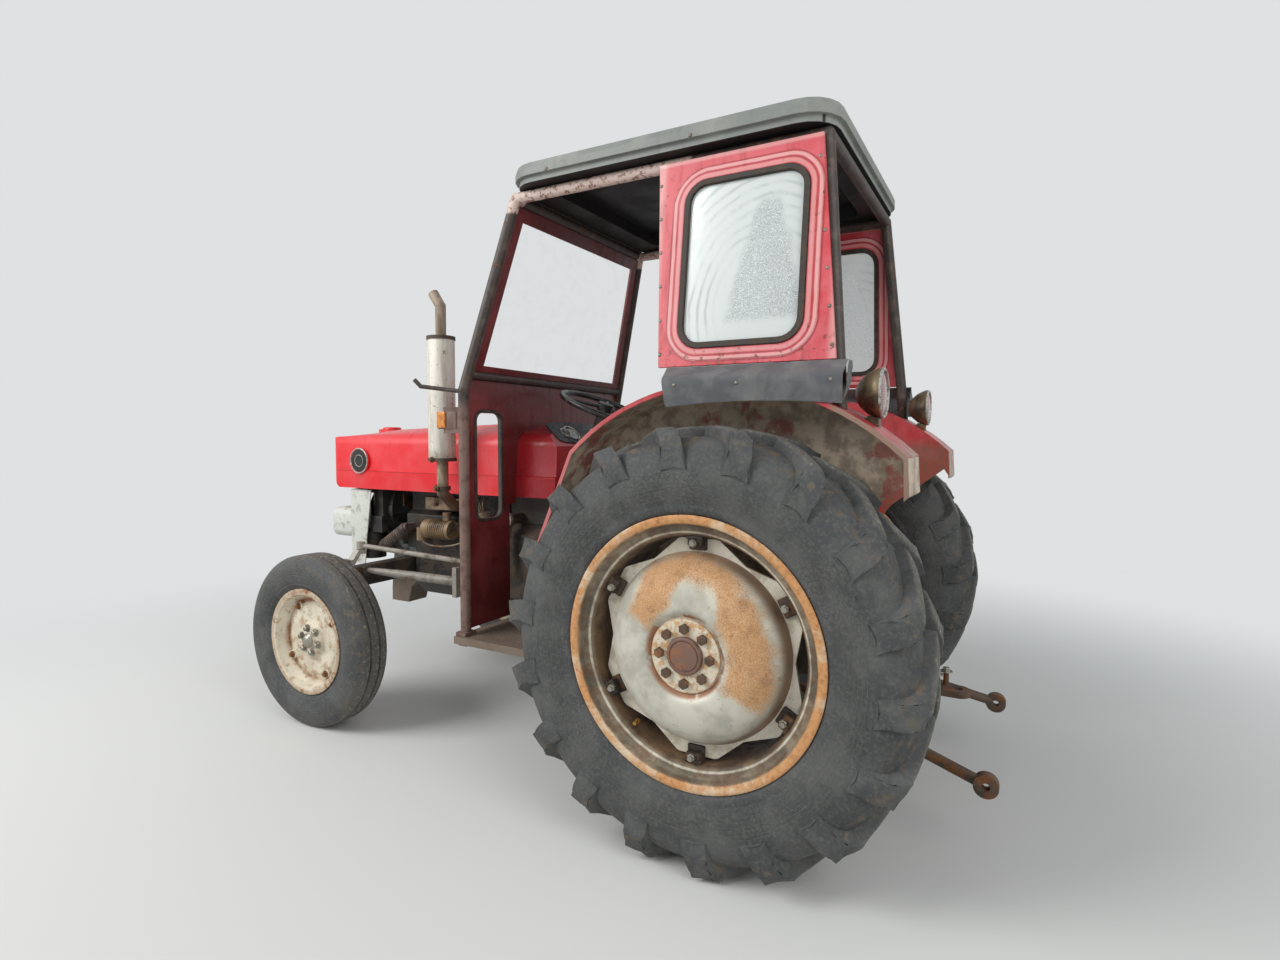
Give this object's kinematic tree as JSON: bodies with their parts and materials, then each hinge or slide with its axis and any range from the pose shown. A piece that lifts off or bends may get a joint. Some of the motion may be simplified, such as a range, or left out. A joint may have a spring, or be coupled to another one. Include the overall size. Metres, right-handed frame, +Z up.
{
  "type": "vintage tractor",
  "caption": "Small vintage farm tractor with an open-backed weather cab, tilting bonnet, upright exhaust, steered front wheels, large lugged rear tyres and a three-point lift linkage.",
  "frame": {"origin": "on the ground under the middle of the tractor's length and width", "axes": "+X forward to the nose, +Y to the driver's left, +Z up"},
  "size_m": [3.03, 1.734, 2.2259],
  "materials": {
    "engine": "oily black paint",
    "grey_casting": "weathered grey paint",
    "black_metal": "worn black paint",
    "cream": "faded cream paint",
    "lamp_white": "chalky white paint",
    "bronze_units": "grimy bronze paint",
    "hose": "ribbed and dusty",
    "silencer": "heat-faded white paint",
    "red": "faded red paint",
    "dark_red": "dull dark red paint",
    "dark_frame": "brown-black paint over rust",
    "greasy_iron": "greasy brown-black",
    "bare_steel": "dull bare steel",
    "rusty_steel": "rusty",
    "rim": "cream paint with a rusted edge",
    "tyre": "worn and dusty",
    "roof": "chalked grey paint",
    "seal": "perished rubber",
    "glass": "dusty glass",
    "canvas": "coated grey canvas",
    "cushion": "worn black vinyl",
    "wheel_plastic": "sun-greyed black"
  },
  "bodies": {
    "chassis": {"engine_block": "engine", "front_support": "grey_casting", "radiator": "black_metal", "grille": "cream", "headlamps": "lamp_white", "engine_units": "bronze_units", "hoses": "hose", "exhaust": "silencer", "dash_cowl": "red", "steering_column": "greasy_iron", "transmission": "greasy_iron", "rear_axle": "greasy_iron", "front_axle": "black_metal", "radius_rods": "bare_steel", "fenders": "red", "cab_frame": "dark_frame", "cab_roof": "roof", "side_panels": "red", "front_panels": "dark_red", "window_seals": "seal", "cab_glass": "glass", "aprons": "canvas", "footplates": "dark_frame", "seat_base": "black_metal", "seat_cushion": "cushion", "rear_lamps": "bronze_units", "controls": "black_metal", "hitch": "rusty_steel"},
    "fan": {"fan": "rusty_steel"},
    "bonnet": {"bonnet": "red"},
    "steering_wheel": {"steering_wheel": "wheel_plastic"},
    "knuckle_left": {"knuckle_left": "bare_steel"},
    "knuckle_right": {"knuckle_right": "bare_steel"},
    "drag_link_left": {"drag_link_left": "bare_steel"},
    "drag_link_right": {"drag_link_right": "bare_steel"},
    "drop_arm_left": {"drop_arm_left": "rusty_steel"},
    "drop_arm_right": {"drop_arm_right": "rusty_steel"},
    "front_wheel_left": {"front_rim_left": "rim", "front_tyre_left": "tyre"},
    "front_wheel_right": {"front_rim_right": "rim", "front_tyre_right": "tyre"},
    "rear_wheel_left": {"rear_rim_left": "rim", "rear_tyre_left": "tyre"},
    "rear_wheel_right": {"rear_rim_right": "rim", "rear_tyre_right": "tyre"},
    "pto_shaft": {"pto_shaft": "bare_steel"},
    "lift_arms": {"lift_arms": "greasy_iron"},
    "lift_rods": {"lift_rods": "rusty_steel"},
    "lower_links": {"lower_links": "rusty_steel"}
  },
  "joints": [
    {"name": "rear_left_roll", "type": "hinge", "parent": "chassis", "child": "rear_wheel_left", "pos_m": [-0.755, 0.705, 0.631], "axis": [0, 1, 0], "continuous": true},
    {"name": "rear_right_roll", "type": "hinge", "parent": "chassis", "child": "rear_wheel_right", "pos_m": [-0.755, -0.705, 0.631], "axis": [0, 1, 0], "continuous": true},
    {"name": "steer_left", "type": "hinge", "parent": "chassis", "child": "knuckle_left", "pos_m": [1.074, 0.52, 0.364], "axis": [0, 0, 1], "range_deg": [-35, 35]},
    {"name": "steer_right", "type": "hinge", "parent": "chassis", "child": "knuckle_right", "pos_m": [1.074, -0.52, 0.364], "axis": [0, 0, 1], "range_deg": [-35, 35]},
    {"name": "front_left_roll", "type": "hinge", "parent": "knuckle_left", "child": "front_wheel_left", "pos_m": [1.074, 0.656, 0.364], "axis": [0, 1, 0], "continuous": true},
    {"name": "front_right_roll", "type": "hinge", "parent": "knuckle_right", "child": "front_wheel_right", "pos_m": [1.074, -0.656, 0.364], "axis": [0, 1, 0], "continuous": true},
    {"name": "drag_link_left_turn", "type": "hinge", "parent": "knuckle_left", "child": "drag_link_left", "pos_m": [1.08, 0.42, 0.732], "axis": [0, 0, 1], "range_deg": [-35, 35]},
    {"name": "drag_link_right_turn", "type": "hinge", "parent": "knuckle_right", "child": "drag_link_right", "pos_m": [1.08, -0.42, 0.732], "axis": [0, 0, 1], "range_deg": [-35, 35]},
    {"name": "drop_arm_left_swing", "type": "hinge", "parent": "chassis", "child": "drop_arm_left", "pos_m": [0.395, 0.217, 0.87], "axis": [0, 1, 0], "range_deg": [-17, 17]},
    {"name": "drop_arm_right_swing", "type": "hinge", "parent": "chassis", "child": "drop_arm_right", "pos_m": [0.395, -0.217, 0.87], "axis": [0, 1, 0], "range_deg": [-17, 17]},
    {"name": "steering_wheel_turn", "type": "hinge", "parent": "chassis", "child": "steering_wheel", "pos_m": [0.035, 0, 1.352], "axis": [-0.3746, 0, 0.9272], "range_deg": [-420, 420]},
    {"name": "fan_spin", "type": "hinge", "parent": "chassis", "child": "fan", "pos_m": [1.103, 0, 0.866], "axis": [1, 0, 0], "continuous": true},
    {"name": "bonnet_tilt", "type": "hinge", "parent": "chassis", "child": "bonnet", "pos_m": [1.375, 0, 0.986], "axis": [0, 1, 0], "range_deg": [0, 60]},
    {"name": "pto_spin", "type": "hinge", "parent": "chassis", "child": "pto_shaft", "pos_m": [-1.045, 0, 0.56], "axis": [1, 0, 0], "continuous": true},
    {"name": "lift", "type": "hinge", "parent": "chassis", "child": "lower_links", "pos_m": [-0.725, 0, 0.428], "axis": [0, 1, 0], "range_deg": [-5, 45]},
    {"name": "lift_arm_swing", "type": "hinge", "parent": "chassis", "child": "lift_arms", "pos_m": [-0.805, 0, 0.93], "axis": [0, 1, 0], "range_deg": [-9, 76]},
    {"name": "lift_rod_swing", "type": "hinge", "parent": "lower_links", "child": "lift_rods", "pos_m": [-1.11812, 0, 0.32712], "axis": [0, 1, 0], "range_deg": [-51, 6]}
  ],
  "couplings": [
    {"joint": "steer_right", "follows": "steer_left", "ratio": 1},
    {"joint": "drag_link_left_turn", "follows": "steer_left", "ratio": -1},
    {"joint": "drag_link_right_turn", "follows": "steer_left", "ratio": -1},
    {"joint": "drop_arm_left_swing", "follows": "steer_left", "ratio": -0.47},
    {"joint": "drop_arm_right_swing", "follows": "steer_left", "ratio": 0.47},
    {"joint": "steering_wheel_turn", "follows": "steer_left", "ratio": 12},
    {"joint": "lift_arm_swing", "follows": "lift", "ratio": 1.66},
    {"joint": "lift_rod_swing", "follows": "lift", "ratio": -1.11}
  ]
}
